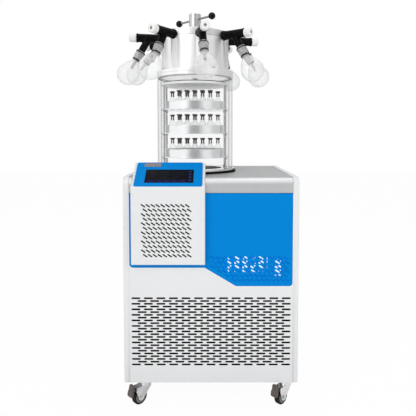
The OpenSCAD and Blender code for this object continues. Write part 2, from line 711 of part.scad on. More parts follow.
foot_d = 38;
foot_h = 14;
foot_bore_h = 10;
screw_z = press_z + press_t + foot_h - foot_bore_h + gap;
boss_z = drum_top + gland_h + press_travel + 2;
boss_h = 53;
handle_z = boss_z + boss_h - 22;
handle_turn = -44;
module press_plate() at_chamber(press_z) color("silver") difference() {
    union() {
        cylinder(d = shelf_d, h = press_t);
        translate([0, 0, press_t]) cylinder(d = foot_d, h = foot_h);
    }
    at_rods() translate([0, 0, -cut]) cylinder(d = rod_d + 2 * run, h = press_t + 2 * cut);
    translate([0, 0, press_t + foot_h - foot_bore_h]) cylinder(d = screw_d + 2 * run, h = foot_bore_h + cut);
}
module press_screw() at_chamber() color("silver") difference() {
    union() {
        translate([0, 0, screw_z]) cylinder(d = screw_d, h = boss_z - screw_z + cut);
        translate([0, 0, boss_z]) cylinder(d = boss_d, h = boss_h - 2);
        translate([0, 0, boss_z + boss_h - 2]) cylinder(d1 = boss_d, d2 = boss_d - 4, h = 2);
    }
    translate([0, 0, handle_z]) rotate(handle_turn) rotate([0, 90, 0])
        cylinder(d = bar_d + 0.02, h = boss_d + 4, center = true);
}
module handle_bar() at_chamber(handle_z) color("silver") rotate(handle_turn) rotate([0, 90, 0])
    cylinder(d = bar_d, h = 2 * (handle_reach - ball_d / 2 + 8), center = true);
module handle_balls() at_chamber(handle_z) color("black") rotate(handle_turn)
    for (s = [0, 180]) rotate(s) translate([handle_reach, 0, 0]) difference() {
        sphere(d = ball_d);
        rotate([0, 90, 0]) translate([0, 0, -ball_d]) cylinder(d = bar_d + 0.02, h = ball_d + 8 - ball_d / 2);
    }

// ---- manifold valves ----

// x runs outwards along a port, z is up
module at_valve(i) at_chamber(valve_z) rotate(valve_az(i) - 90) rotate([valve_swing[i], 0, 0]) children();
// z runs down and outwards along the side arm, from the valve's centre line
module along_arm() translate([arm_at, 0, 0]) rotate([0, 90 + arm_tilt, 0]) children();

body_x0 = drum_d / 2 + 0.4;
body_x1 = knob_at - 28;
stem_d = 12;
cone_d = 19;
module valve_body() difference() {
    union() {
        translate([body_x0, 0, 0]) rotate([0, 90, 0]) {
            cylinder(d = body_d + 5, h = 4);
            translate([0, 0, 4]) cylinder(d1 = body_d + 5, d2 = body_d, h = 14);
            translate([0, 0, 18]) cylinder(d = body_d, h = body_x1 - body_x0 - 24);
            translate([0, 0, body_x1 - body_x0 - 6]) cylinder(d = body_d + 3, h = 6);
        }
        along_arm() cylinder(d = arm_d, h = 60);
    }
    translate([body_x0 - cut, 0, 0]) rotate([0, 90, 0]) cylinder(d = port_d + 0.02, h = port_out + cut);
    translate([body_x0, 0, 0]) rotate([0, 90, 0]) cylinder(d = stem_d + 2 * run, h = body_x1 - body_x0 + cut);
    along_arm() cylinder(d = cone_d + 0.02, h = 60 + cut);
}
module valve_bodies() color("black") for (i = [0:valve_n - 1]) at_valve(i) valve_body();

knob_t = knob_at - body_x1 - 0.5;
module valve_knob(i) at_valve(i) color("white") translate([knob_at - knob_t, 0, 0]) rotate([0, 90, 0])
    rotate_extrude() polygon([
        [0, -22], [stem_d / 2, -22], [stem_d / 2, 0], [knob_d / 2 - 2, 0], [knob_d / 2, 2],
        [knob_d / 2, knob_t - 8], for (a = [0:15:60])
            [knob_d / 2 - 7 + 7 * cos(a), knob_t - 7 + 7 * sin(a)],
        [9, knob_t], [5, knob_t - 3], [0, knob_t - 3]
    ]);

adapter_z0 = 60;
adapter_l = 40;
stem_l = 34;
adapter_bore = 9;
module valve_adapters() color("darkgray") for (i = [0:valve_n - 1]) at_valve(i) along_arm()
    rotate_extrude() polygon([
        [adapter_bore / 2, 34], [cone_d / 2, 34], [cone_d / 2, adapter_z0 + 0.02],
        [18, adapter_z0 + 0.02], [18, adapter_z0 + 8], [16.8, adapter_z0 + adapter_l - 16],
        [14.6, adapter_z0 + adapter_l], [10.5, adapter_z0 + adapter_l],
        [10.5, adapter_z0 + 10], [7.5, adapter_z0 + 10], [6, adapter_z0 + adapter_l + 4],
        [5.6, adapter_z0 + adapter_l + stem_l], [3.6, adapter_z0 + adapter_l + stem_l],
        [adapter_bore / 2, adapter_z0 + adapter_l]
    ]);

// pear-shaped: a round bulb whose shoulder runs straight up into the neck
neck_r = 10.3;
shoulder = 52;        // how far round the bulb the shoulder leaves it, from the neck's side
flask_neck_z = adapter_z0 + 16;
function bulb(r, a0, a1, n) = [for (k = [0:n]) let (a = a0 + (a1 - a0) * k / n)
    [r * sin(a), flask_at - r * cos(a)]];
module flasks() color("aliceblue", 0.4) for (i = [0:valve_n - 1]) at_valve(i) along_arm() {
    r = flask_d / 2;
    t = flask_wall;
    z1 = flask_at - r * cos(shoulder) - (r * sin(shoulder) - neck_r) / tan(90 - shoulder) ;
    rotate_extrude() polygon(concat(
        [[neck_r, flask_neck_z], [neck_r, max(z1, flask_neck_z + 4)]],
        bulb(r, shoulder, 180, 22),
        bulb(r - t, 180, shoulder, 22),
        [[neck_r - t, max(z1, flask_neck_z + 4) + 1], [neck_r - t, flask_neck_z]]
    ));
}

base_frame();
side_panel(-1);  // left_side_panel
side_panel(1);  // right_side_panel
rear_panel();
lower_front_panel();
blue_front_panel();
top_cover();
control_housing();
bezel_panel();
touch_screen();
label_plate();
power_inlet();
power_rocker();
vacuum_port();
cold_trap();
evaporator_coil();
compressor();
condenser_core();
fan_shroud();
fan_motor();
fan_blades();
control_board();
caster_plates();
caster_fork(0);  // caster_fork_1
caster_fork(1);  // caster_fork_2
caster_fork(2);  // caster_fork_3
caster_fork(3);  // caster_fork_4
caster_wheel(0);  // caster_wheel_1
caster_wheel(1);  // caster_wheel_2
caster_wheel(2);  // caster_wheel_3
caster_wheel(3);  // caster_wheel_4
brake_pedal(0);  // brake_pedal_1
brake_pedal(1);  // brake_pedal_2
base_gasket();
base_plate();
acrylic_cylinder();
lid_gasket();
lid_flange();
manifold_drum();
flange_nuts();
guide_rods();
rack_shelves();
product_trays();
vials();
stoppers();
press_plate();
press_screw();
handle_bar();
handle_balls();
valve_bodies();
valve_adapters();
flasks();
valve_knob(0);  // valve_knob_1
valve_knob(1);  // valve_knob_2
valve_knob(2);  // valve_knob_3
valve_knob(3);  // valve_knob_4
valve_knob(4);  // valve_knob_5
valve_knob(5);  // valve_knob_6
valve_knob(6);  // valve_knob_7
valve_knob(7);  // valve_knob_8
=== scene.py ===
import json
import math
import bmesh
import bpy
from mathutils import Matrix, Vector

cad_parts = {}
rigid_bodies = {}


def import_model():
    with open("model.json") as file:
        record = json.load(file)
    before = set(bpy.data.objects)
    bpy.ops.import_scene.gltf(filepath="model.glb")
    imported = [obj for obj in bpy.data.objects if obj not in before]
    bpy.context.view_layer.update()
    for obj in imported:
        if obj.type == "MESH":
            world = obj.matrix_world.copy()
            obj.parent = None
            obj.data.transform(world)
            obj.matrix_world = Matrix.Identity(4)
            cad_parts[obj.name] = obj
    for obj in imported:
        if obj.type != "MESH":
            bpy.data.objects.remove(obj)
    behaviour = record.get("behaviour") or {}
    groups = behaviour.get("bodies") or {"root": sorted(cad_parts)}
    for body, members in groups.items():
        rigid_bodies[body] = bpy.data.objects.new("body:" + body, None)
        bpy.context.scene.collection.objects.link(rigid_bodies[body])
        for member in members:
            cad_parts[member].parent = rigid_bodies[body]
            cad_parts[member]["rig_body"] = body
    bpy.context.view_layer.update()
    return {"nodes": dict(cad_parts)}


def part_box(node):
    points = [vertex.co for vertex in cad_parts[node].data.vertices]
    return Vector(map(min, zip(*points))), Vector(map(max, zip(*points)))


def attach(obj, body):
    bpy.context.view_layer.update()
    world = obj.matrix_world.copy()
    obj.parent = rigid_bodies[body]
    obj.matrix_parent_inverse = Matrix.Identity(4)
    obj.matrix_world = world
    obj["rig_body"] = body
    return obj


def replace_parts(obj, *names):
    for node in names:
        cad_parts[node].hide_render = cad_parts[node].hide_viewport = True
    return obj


# Looks for the lab freeze dryer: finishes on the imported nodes, and finer pieces where the solid ones are too plain.
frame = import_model()
nodes = frame["nodes"]
rad = math.radians
print("frame loaded:", len(nodes), "nodes")


# a socket to reckon with
class Wire:
    def __init__(self, shop, socket):
        self.shop, self.socket = shop, socket

    def reckon(self, kind, *values, clip=False):
        return self.shop.node("ShaderNodeMath", {"operation": kind, "use_clamp": clip}, dict(enumerate(values)))

    def __add__(self, other):
        return self.reckon("ADD", self, other)

    def __sub__(self, other):
        return self.reckon("SUBTRACT", self, other)

    def __rsub__(self, other):
        return self.reckon("SUBTRACT", other, self)

    def __mul__(self, other):
        return self.reckon("MULTIPLY", self, other)

    def __truediv__(self, other):
        return self.reckon("DIVIDE", self, other)

    def __pow__(self, other):
        return self.reckon("POWER", self, other)

    def __gt__(self, other):
        return self.reckon("GREATER_THAN", self, other)

    def __lt__(self, other):
        return self.reckon("LESS_THAN", self, other)

    def __mod__(self, other):
        return self.reckon("FLOORED_MODULO", self, other)

    __radd__ = __add__
    __rmul__ = __mul__

    def sister(self, name):
        return Wire(self.shop, self.socket.node.outputs[name])

    def clip(self):
        return self.reckon("ADD", self, 0.0, clip=True)

    def ramp(self, low, high, start=0.0, end=1.0):
        return self.shop.node("ShaderNodeMapRange", {"interpolation_type": "SMOOTHSTEP"},
                              {"Value": self, "From Min": low, "From Max": high, "To Min": start, "To Max": end})


# a workshop that makes nodes: a type, its settings, and the values or links of its sockets
class Shop:
    def __init__(self, tree):
        self.tree = tree

    def node(self, kind, settings=None, sockets=None, out=0):
        made = self.tree.nodes.new(kind)
        for key, value in (settings or {}).items():
            if key == "stops":
                ramp = made.color_ramp
                while len(ramp.elements) < len(value):
                    ramp.elements.new(0.5)
                for element, (place, colour) in zip(ramp.elements, value):
                    element.position, element.color = place, (*colour, 1)
            else:
                setattr(made, key, value)
        for key, value in (sockets or {}).items():
            socket = made.inputs[key]
            if isinstance(value, Wire):
                self.tree.links.new(value.socket, socket)
            else:
                socket.default_value = (*value, 1) if socket.type == "RGBA" else value
        return Wire(self, made.outputs[out]) if len(made.outputs) else made


def srgb(*levels):  # 0 to 255 on screen, to linear
    return tuple(round(((v / 255 + 0.055) / 1.055) ** 2.4 if v > 10 else v / 255 / 12.92, 4) for v in levels)


def dimmed(colour, share):
    return tuple(c * share for c in colour)


class Finish(Shop):
    def __init__(self, name, **fixed):
        self.material = bpy.data.materials.new(name)
        self.material.use_nodes = True
        Shop.__init__(self, self.material.node_tree)
        self.tree.nodes.clear()
        self.where = self.node("ShaderNodeTexCoord", out=3)
        self.fixed = fixed

    def noise(self, scale, detail=3.0, rough=0.55, stretch=(1, 1, 1)):
        place = self.node("ShaderNodeMapping", {}, {"Vector": self.where, "Scale": stretch})
        return self.node("ShaderNodeTexNoise", {},
                         {"Vector": place, "Scale": scale, "Detail": detail, "Roughness": rough})

    def axis(self, k, source=None):
        return self.node("ShaderNodeSeparateXYZ", {}, {"Vector": source or self.where}, out=k)

    def blend(self, mask, a, b):
        return self.node("ShaderNodeMix", {"data_type": "RGBA", "clamp_factor": True}, {0: mask, 6: a, 7: b}, out=2)

    def bump(self, height, distance, strength=0.5):
        return self.node("ShaderNodeBump", {}, {"Height": height, "Distance": distance, "Strength": strength})

    def close(self, through=None, **sockets):
        names = {"base": "Base Color", "rough": "Roughness", "metal": "Metallic", "coat": "Coat Weight",
                 "glow": "Emission Color", "normal": "Normal"}
        values = {names.get(k, k): v for k, v in {**self.fixed, **sockets}.items()}
        shader = self.node("ShaderNodeBsdfPrincipled", {}, values)
        if through is not None:
            empty = self.node("ShaderNodeBsdfTransparent", {}, {"Color": (1, 1, 1)})
            shader = self.node("ShaderNodeMixShader", {}, {0: through, 1: empty, 2: shader})
        self.node("ShaderNodeOutputMaterial", {}, {"Surface": shader})
        return self.material


# finishes: each recipe has its usual values, and a finish says what it changes
paintUsual = {"rough": 0.42, "coat": 0.1, "shine": 0.5, "dim": 0.93, "cloud": 3.0, "dust": 0.1, "peel": 420,
              "peelDepth": 0.0002, "slotted": {}}
dustLayer = {"colour": (0.35, 0.33, 0.3), "none": 0.2, "most": 0.08}  # heights above the floor


def paint(name, colour, changes):
    has = {**paintUsual, **changes}
    f = Finish(name, **{"Coat Roughness": 0.2, "Specular IOR Level": has["shine"]})
    cloud = f.noise(has["cloud"], 2)
    fine = f.noise(has["peel"], 2)
    dust = f.axis(2).ramp(dustLayer["none"], dustLayer["most"], 0, has["dust"])
    base = f.blend((cloud - 0.5) * 1.6 + 0.5, colour, dimmed(colour, has["dim"]))
    base = f.blend(dust, base, dustLayer["colour"])
    for node, (side, bottom, top) in has["slotted"].items():  # painted shade: the walls inside the slots are darkened
        low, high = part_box(node)
        slotWallShade = (f.axis(0) > low.x + side) * (f.axis(0) < high.x - side)
        slotWallShade = slotWallShade * (f.axis(2) > low.z + bottom) * (f.axis(2) < low.z + top)
        base = f.blend(slotWallShade * f.axis(1).ramp(low.y + 0.0002, low.y + 0.0005), base, srgb(8, 8, 9))
    return f.close(base=base, rough=(fine - 0.5) * 0.14 + (cloud - 0.5) * 0.12 + has["rough"],
                   coat=(cloud - 0.5) * 0.2 + has["coat"], normal=f.bump(fine, has["peelDepth"], 0.35))


metalUsual = {"metal": 0.96, "rough": 0.22, "brush": 0.2, "dim": 0.8, "cloud": 9, "grain": 260,
              "stretch": (1, 1, 0.03), "relief": 0.25}


def metal(name, colour, changes):
    has = {**metalUsual, **changes}
    f = Finish(name, **{"Specular IOR Level": 0.5})
    grain = f.noise(has["grain"], 3, 0.6, has["stretch"])
    cloud = f.noise(has["cloud"], 3)
    base = f.blend((cloud - 0.5) * 1.3 + (grain - 0.5) * 0.8 + 0.4, colour, dimmed(colour, has["dim"]))
    return f.close(base=base, metal=(cloud - 0.5) * 0.04 + has["metal"],
                   rough=(grain - 0.5) * has["brush"] + has["rough"], normal=f.bump(grain, 0.00008, has["relief"]))


def glowingLining(name, colour, has):
    # white enamel with painted light: it glows by itself in place of the light caught between the chamber's walls
    f = Finish(name, **{"Specular IOR Level": 0.1, "Emission Strength": has["glow"]})
    cloud = f.noise(has["cloud"], 3)
    base = f.blend((cloud - 0.5) * 1.2 + 0.5, colour, dimmed(colour, has["dim"]))
    return f.close(base=base, glow=base, rough=(cloud - 0.5) * 0.2 + has["rough"], normal=f.bump(cloud, 0.0001, 0.2))


drumSeam = {"down": 0.0305, "bandFrom": -0.0005, "bandTo": 0.0015, "half": 0.001, "soft": 0.001}


def rolledDrum():
    # satin drum with a greyer band above its seam and fine dark streaks down its side
    f = Finish("rolledDrumSteel", **{"Specular IOR Level": 0.5})
    seamZ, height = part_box("manifold_drum")[1].z - drumSeam["down"], f.axis(2)
    near, far = drumSeam["half"], drumSeam["half"] + drumSeam["soft"]
    grain = f.noise(420, 3, 0.6, (0.04, 0.04, 1))
    cloud = f.noise(9, 3)
    streak = f.noise(26, 2, 0.5, (1, 1, 0.02)).ramp(0.62, 0.7)
    band = height.ramp(seamZ + drumSeam["bandFrom"], seamZ + drumSeam["bandTo"])
    seam = height.ramp(seamZ - far, seamZ - near) * height.ramp(seamZ + far, seamZ + near)
    base = f.blend((cloud - 0.5) * 1.3 + (grain - 0.5) * 0.6 + 0.4, srgb(253, 253, 253), srgb(247, 247, 247))
    base = f.blend(band * 0.8 + streak * 0.35, base, srgb(214, 214, 214))
    return f.close(base=f.blend(seam * 0.7, base, srgb(176, 176, 176)), metal=(cloud - 0.5) * 0.04 + 0.92,
                   rough=(grain - 0.5) * 0.2 + 0.48, normal=f.bump(grain, 0.00008, 0.25))


rubberUsual = {"rough": 0.45, "shine": 0.4, "pale": 1.9, "fine": 700, "bloom": 35, "depth": 0.0002}


def rubber(name, colour, changes):
    has = {**rubberUsual, **changes}
    f = Finish(name, **{"Specular IOR Level": has["shine"]})
    fine = f.noise(has["fine"], 2)
    bloom = f.noise(has["bloom"], 4, 0.6)
    pale = tuple(min(1, c * has["pale"] + 0.004) for c in colour)
    return f.close(base=f.blend(bloom.ramp(0.45, 0.75), colour, pale),
                   rough=(bloom - 0.5) * 0.25 + (fine - 0.5) * 0.1 + has["rough"],
                   normal=f.bump(fine + bloom * 0.5, has["depth"], 0.3))


clearUsual = {"least": 0.06, "rim": 0.6, "power": 2.0, "edge": 0.4, "rough": 0.06, "shine": 0.5, "haze": 14,
              "cloud": 0.05, "streak": 0.93}


def clearWall(name, colour, changes):
    has = {**clearUsual, **changes}
    f = Finish(name, **{"Specular IOR Level": has["shine"], "IOR": 1.45})
    edge = f.node("ShaderNodeLayerWeight", {}, {"Blend": has["edge"]}, out=1)
    haze = f.noise(has["haze"], 3)
    smear = f.noise(60, 4, 0.7, (1, 1, 0.3))
    through = edge ** has["power"] * has["rim"] + (haze - 0.5) * has["cloud"]
    return f.close(through=(through + has["least"]).clip(),
                   base=f.blend(haze.ramp(0.3, 0.8), colour, dimmed(colour, has["streak"])),
                   rough=(smear - 0.5) * 0.06 + has["rough"])


# depths of the painted highlight along the cover's nose
noseHighlightBand = {"low": 0.020, "palest": 0.0115, "top": 0.0012, "below": 0.004}  # depths under the cover's top


def silverPaint():
    # metallic paint with a painted highlight where the nose rolls over
    f = Finish("silverCoverPaint", **{"Specular IOR Level": 0.02, "Specular Tint": (0.35, 0.35, 0.35)})
    low, palest, top, below = (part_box("top_cover")[1].z - depth for depth in noseHighlightBand.values())
    flake = f.noise(500, 3, 0.6, (0.04, 1, 1))
    cloud = f.noise(7, 3)
    noseHighlight = f.axis(2).ramp(low, palest) * f.axis(2).ramp(top, below)
    base = f.blend((cloud - 0.5) * 1.2 + flake * 0.5, srgb(201, 202, 203), srgb(194, 195, 196))
    return f.close(base=f.blend(noseHighlight, base, srgb(220, 221, 222)), metal=(cloud - 0.5) * 0.05 + 0.42,
                   rough=(flake - 0.5) * 0.1 + 0.36, normal=f.bump(flake, 0.00004, 0.25))


slotted = {"control_housing": (0.02, 0.012, 0.232), "lower_front_panel": (0.01, 0.034, 0.322)}  # side, bottom, top
evenly, turnedRound, acrossX = (1, 1, 1), (0.05, 0.05, 1), (0.05, 1, 1)  # ways a grain is stretched
finishes = {
    "silverTop": silverPaint(),
    "powderGrey": paint("greyPowderCoat", srgb(230, 231, 232), {"rough": 0.44, "dust": 0.03}),
    # the vented coat carries painted shade on the walls inside its slots
    "ventedGrey": paint("ventedPowderCoat", srgb(230, 231, 232), {"rough": 0.44, "dust": 0.03, "slotted": slotted}),
    "panelBlue": paint("blueGlossPaint", srgb(0, 131, 212),
                       {"rough": 0.36, "coat": -0.08, "shine": 0.03, "cloud": 1.6, "dust": 0.0}),
    "bareSteel": metal("brushedStainless", srgb(250, 250, 250), {"rough": 0.16, "dim": 0.9}),
    "drumSteel": metal("satinDrumSteel", srgb(254, 254, 254),
                       {"rough": 0.42, "dim": 0.95, "grain": 420, "stretch": (0.04, 0.04, 1)}),
    "satinSteel": metal("satinSteel", srgb(248, 248, 248),
                        {"metal": 0.55, "rough": 0.5, "dim": 0.94, "grain": 90, "stretch": evenly}),
    # the baffle's glow is painted light, not a lamp
    "baffleSteel": glowingLining("baffleSteel", srgb(236, 236, 236),
                               {"glow": 0.42, "cloud": 14, "dim": 0.93, "rough": 0.5}),
    "rolledDrum": rolledDrum(),
    "bossSteel": metal("turnedBossSteel", srgb(208, 208, 208),
                       {"metal": 0.8, "rough": 0.3, "grain": 500, "stretch": turnedRound}),
    "shelfSteel": metal("polishedShelfSteel", srgb(252, 253, 254),
                        {"metal": 0.86, "rough": 0.24, "dim": 0.95, "grain": 90, "stretch": evenly,
                         "relief": 0.12, "brush": 0.08}),
    "rodSteel": metal("turnedSteel", srgb(214, 214, 214), {"rough": 0.18, "grain": 700, "stretch": turnedRound}),
    "handleSteel": metal("handleSteel", srgb(150, 150, 151), {"rough": 0.3, "grain": 700, "stretch": turnedRound}),
    "zincSteel": metal("zincPlate", srgb(248, 248, 248), {"grain": 60, "stretch": evenly, "cloud": 40, "dim": 0.74}),
    "galvanised": metal("galvanisedSheet", srgb(168, 172, 175),
                        {"rough": 0.42, "grain": 30, "stretch": evenly, "cloud": 22, "dim": 0.7}),
    "copperPipe": metal("copperPipe", srgb(201, 123, 88),
                        {"rough": 0.3, "grain": 50, "stretch": evenly, "cloud": 18, "dim": 0.62}),
    "finAlloy": metal("condenserAlloy", srgb(190, 192, 194), {"rough": 0.38, "grain": 160, "stretch": acrossX}),
    "blackRubber": rubber("blackRubber", srgb(14, 14, 15), {"rough": 0.42, "shine": 0.04, "pale": 1.3}),
    "silicone": rubber("milkySilicone", srgb(196, 198, 198), {"rough": 0.4, "pale": 1.05, "shine": 0.3}),
    "gasketRubber": rubber("gasketRubber", srgb(11, 10, 10), {"rough": 0.55, "shine": 0.05, "pale": 1.3}),
    "stopperRubber": rubber("stopperRubber", srgb(50, 49, 50), {"rough": 0.55, "pale": 1.7, "bloom": 160}),
    "tyreRubber": rubber("tyreRubber", srgb(32, 31, 29), {"rough": 0.6, "pale": 1.3, "bloom": 70, "shine": 0.15}),
    "pedalPlastic": rubber("pedalPlastic", srgb(86, 77, 76), {"rough": 0.46, "pale": 1.3}),
    "ballPlastic": rubber("ballPlastic", srgb(9, 9, 10), {"rough": 0.16, "shine": 0.16, "pale": 1.3, "depth": 0.00003}),
    "tipRubber": rubber("tipRubber", srgb(38, 38, 39), {"rough": 0.5, "shine": 0.05}),
    "capGrey": rubber("capGrey", srgb(128, 128, 130), {"rough": 0.35, "pale": 1.15}),
    "creamSeal": rubber("creamSeal", srgb(246, 238, 226), {"rough": 0.5, "pale": 1.02, "shine": 0.3}),
    # a near-black sheet behind the slots, standing in for the shade inside the cabinet
    "ventShade": rubber("filterFoam", srgb(4, 4, 5), {"rough": 0.95, "shine": 0.0, "pale": 1.0, "fine": 300}),
    "socketPlastic": rubber("socketPlastic", srgb(34, 34, 36), {"rough": 0.42}),
    "rockerPlastic": rubber("rockerPlastic", srgb(48, 48, 50), {"rough": 0.3}),
    "fanPlastic": rubber("fanPlastic", srgb(52, 53, 55), {"rough": 0.5}),
    "compressorPaint": paint("compressorPaint", srgb(24, 24, 26), {"rough": 0.3, "dim": 0.7, "cloud": 12}),
    "knobPlastic": paint("knobPlastic", srgb(240, 240, 238),
                         {"rough": 0.3, "peel": 900, "peelDepth": 0.00006, "cloud": 30, "dust": 0.0, "dim": 0.96,
                          "coat": 0.2}),
    "boardGreen": paint("boardLacquer", srgb(18, 92, 58), {"rough": 0.35, "cloud": 90, "dim": 0.7}),
    "labelPlate": metal("bareLabelPlate", srgb(132, 126, 124),
                        {"metal": 0.5, "rough": 0.4, "stretch": (0.03, 1, 1), "dim": 0.88}),
    "acrylic": clearWall("clearAcrylic", (0.47, 0.49, 0.5),
                         {"least": 0.025, "rim": 1.0, "power": 5.0, "edge": 0.5, "rough": 0.05}),
    "flaskGlass": clearWall("flaskGlass", (0.955, 0.96, 0.965),
                            {"least": 0.13, "rim": 0.5, "power": 2.2, "edge": 0.45, "rough": 0.04, "shine": 0.7}),
    "vialGlass": clearWall("vialGlass", (0.9, 0.92, 0.93),
                           {"least": 0.045, "rim": 0.25, "power": 2.6, "edge": 0.45, "rough": 0.05}),
    "adapterGlass": clearWall("groundJointGlass", (0.62, 0.62, 0.61),
                              {"streak": 0.42, "least": 0.66, "rim": 0.25, "power": 1.5, "rough": 0.3, "haze": 120,
                               "cloud": 0.3}),
}
print("finishes:", len(finishes))


def giveFinish(thing, finish):
    thing.data.materials.clear()
    thing.data.materials.append(finishes[finish])


nodeFinishes = {
    "powderGrey": ["left_side_panel", "right_side_panel", "rear_panel"],
    "ventedGrey": ["lower_front_panel", "control_housing"],
    "panelBlue": ["blue_front_panel", "bezel_panel"],
    "silverTop": ["top_cover"],
    "rolledDrum": ["manifold_drum"],
    "bareSteel": ["base_plate", "cold_trap", "vacuum_port"],
    "satinSteel": ["press_plate"],
    "drumSteel": ["lid_flange"],
    "shelfSteel": ["rack_shelves", "product_trays"],
    "rodSteel": ["guide_rods", "flange_nuts"],
    "handleSteel": ["handle_bar"],
    "bossSteel": ["press_screw"],
    "zincSteel": ["caster_plates"] + [f"caster_fork_{k}" for k in range(1, 5)],
    "galvanised": ["base_frame", "fan_shroud", "fan_motor"],
    "copperPipe": ["evaporator_coil"],
    "finAlloy": ["condenser_core"],
    "blackRubber": ["valve_bodies"],
    "gasketRubber": ["base_gasket"],
    "silicone": ["lid_gasket"],
    "stopperRubber": ["stoppers"],
    "tyreRubber": [f"caster_wheel_{k}" for k in range(1, 5)],
    "pedalPlastic": ["brake_pedal_1", "brake_pedal_2"],
    "ballPlastic": ["handle_balls"],
    "socketPlastic": ["power_inlet", "touch_screen"],
    "rockerPlastic": ["power_rocker"],
    "fanPlastic": ["fan_blades"],
    "compressorPaint": ["compressor"],
    "knobPlastic": [f"valve_knob_{k}" for k in range(1, 9)],
    "boardGreen": ["control_board"],
    "labelPlate": ["label_plate"],
    "acrylic": ["acrylic_cylinder"],
    "flaskGlass": ["flasks"],
    "vialGlass": ["vials"],
    "adapterGlass": ["valve_adapters"],
}
for finish, members in nodeFinishes.items():
    for member in members:
        giveFinish(nodes[member], finish)
print("nodes finished:", sum(map(len, nodeFinishes.values())))


# ways to make a mesh
sharp = {"piece": rad(40), "softened": rad(35), "rounded": rad(22)}  # edges turned by more than this
onFace = 1e-4  # a point this near lies on the face


def placed(name, data):
    thing = bpy.data.objects.new(name, data)
    bpy.context.scene.collection.objects.link(thing)
    return thing


def plainMesh(thing):
    # what the modifiers make of it
    bpy.context.view_layer.update()
    made = bpy.data.meshes.new_from_object(thing.evaluated_get(bpy.context.evaluated_depsgraph_get()))
    thing.modifiers.clear()
    return made


def addPiece(name, points, faces, finish, body=None, smooth=True):
    mesh = bpy.data.meshes.new(name)
    mesh.from_pydata([tuple(p) for p in points], [], faces)
    work = bmesh.new()
    work.from_mesh(mesh)
    bmesh.ops.remove_doubles(work, verts=work.verts, dist=1e-6)
    bmesh.ops.recalc_face_normals(work, faces=work.faces)
    work.to_mesh(mesh)
    work.free()
    piece = placed(name, mesh)
    if smooth:
        mesh.shade_smooth()
        mesh.set_sharp_from_angle(angle=sharp["piece"])
    if finish:
        giveFinish(piece, finish)
    if body:
        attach(piece, body)
    return piece


def turned(profile, steps, place=None, closed=True, shape=None):
    # an outline of (radius, height) turned about Z, then put in place
    points, faces, count = [], [], len(profile)
    for k in range(steps):
        a = 2 * math.pi * k / steps
        for j, (r, z) in enumerate(profile):
            grown = r * (shape(a, j) if shape else 1)
            p = Vector((grown * math.cos(a), grown * math.sin(a), z))
            points.append(place @ p if place else p)
    for k in range(steps):
        for j in range(count if closed else count - 1):
            a, b = k * count, (k + 1) % steps * count
            n = (j + 1) % count
            faces.append((a + j, b + j, b + n, a + n))
    return points, faces


def arc(cx, cz, r, a0, a1, steps):
    return [(cx + r * math.cos(rad(a0 + (a1 - a0) * k / steps)), cz + r * math.sin(rad(a0 + (a1 - a0) * k / steps)))
            for k in range(steps + 1)]


def wireRing(radius, z, size):
    # a thin ring's outline
    return [(radius + x, z + y) for x, y in arc(0, 0, size, 0, 330, 11)]


def mirrored(half, middle=()):
    # an outline's lower half, and the same above it
    return half + list(middle) + [(r, -z) for r, z in reversed(half)]


def centre(node):
    low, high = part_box(node)
    return (low + high) / 2


def copyOf(node):
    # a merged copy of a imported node's mesh, with its flat faces made whole
    work = bmesh.new()
    work.from_mesh(nodes[node].data)
    bmesh.ops.remove_doubles(work, verts=work.verts, dist=2e-6)
    bmesh.ops.dissolve_limit(work, angle_limit=rad(0.5), verts=work.verts, edges=work.edges)
    return work


def softened(node, name, finish, chosen, width, steps=3):
    # the node again with its chosen sharp edges rounded
    work = copyOf(node)
    edges = [e for e in work.edges if len(e.link_faces) == 2 and e.calc_face_angle(0) > sharp["rounded"]
             and chosen((e.verts[0].co + e.verts[1].co) / 2, e.verts[0].co, e.verts[1].co)]
    bmesh.ops.bevel(work, geom=edges, offset=width, segments=steps, profile=0.6, affect="EDGES", clamp_overlap=True)
    bmesh.ops.triangulate(work, faces=[f for f in work.faces if len(f.verts) > 4])
    mesh = bpy.data.meshes.new(name)
    work.to_mesh(mesh)
    work.free()
    piece = placed(name, mesh)
    mesh.shade_smooth()
    mesh.set_sharp_from_angle(angle=sharp["softened"])
    giveFinish(piece, finish)
    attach(piece, nodes[node]["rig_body"])
    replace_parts(piece, node)
    print(" ", name, len(edges), "edges rounded,", len(mesh.polygons), "faces")


# geometry nodes: one shape set on points
class Tree(Shop):
    def __init__(self, name, inputs):
        Shop.__init__(self, bpy.data.node_groups.new(name, "GeometryNodeTree"))
        for label, kind, value in inputs:
            socket = self.tree.interface.new_socket(label, in_out="INPUT", socket_type=kind)
            if value is not None:
                socket.default_value = value
        self.tree.interface.new_socket("Geometry", in_out="OUTPUT", socket_type="NodeSocketGeometry")
        self.start = self.tree.nodes.new("NodeGroupInput")

    def input(self, label):
        return Wire(self, self.start.outputs[label])

    def finish(self, instances):
        real = self.node("GeometryNodeRealizeInstances", {}, {"Geometry": instances})
        done = self.node("GeometryNodeSetMaterial", {}, {"Geometry": real, "Material": self.input("Material")})
        self.node("NodeGroupOutput", {}, {"Geometry": done})
        return self.tree


def onPointsTree():
    t = Tree("setOnPoints", [("Points", "NodeSocketGeometry", None), ("Shape", "NodeSocketObject", None),
                             ("Size", "NodeSocketFloat", 1.0), ("Material", "NodeSocketMaterial", None)])
    shape = t.node("GeometryNodeObjectInfo", {}, {"Object": t.input("Shape")}).sister("Geometry")
    turn = t.node("GeometryNodeInputNamedAttribute", {"data_type": "FLOAT_VECTOR"}, {"Name": "turn"})
    size = t.node("ShaderNodeCombineXYZ", {}, {k: t.input("Size") for k in range(3)})
    return t.finish(t.node("GeometryNodeInstanceOnPoints", {}, {"Points": t.input("Points"), "Instance": shape,
                                                                "Rotation": turn, "Scale": size}))


onPoints = onPointsTree()


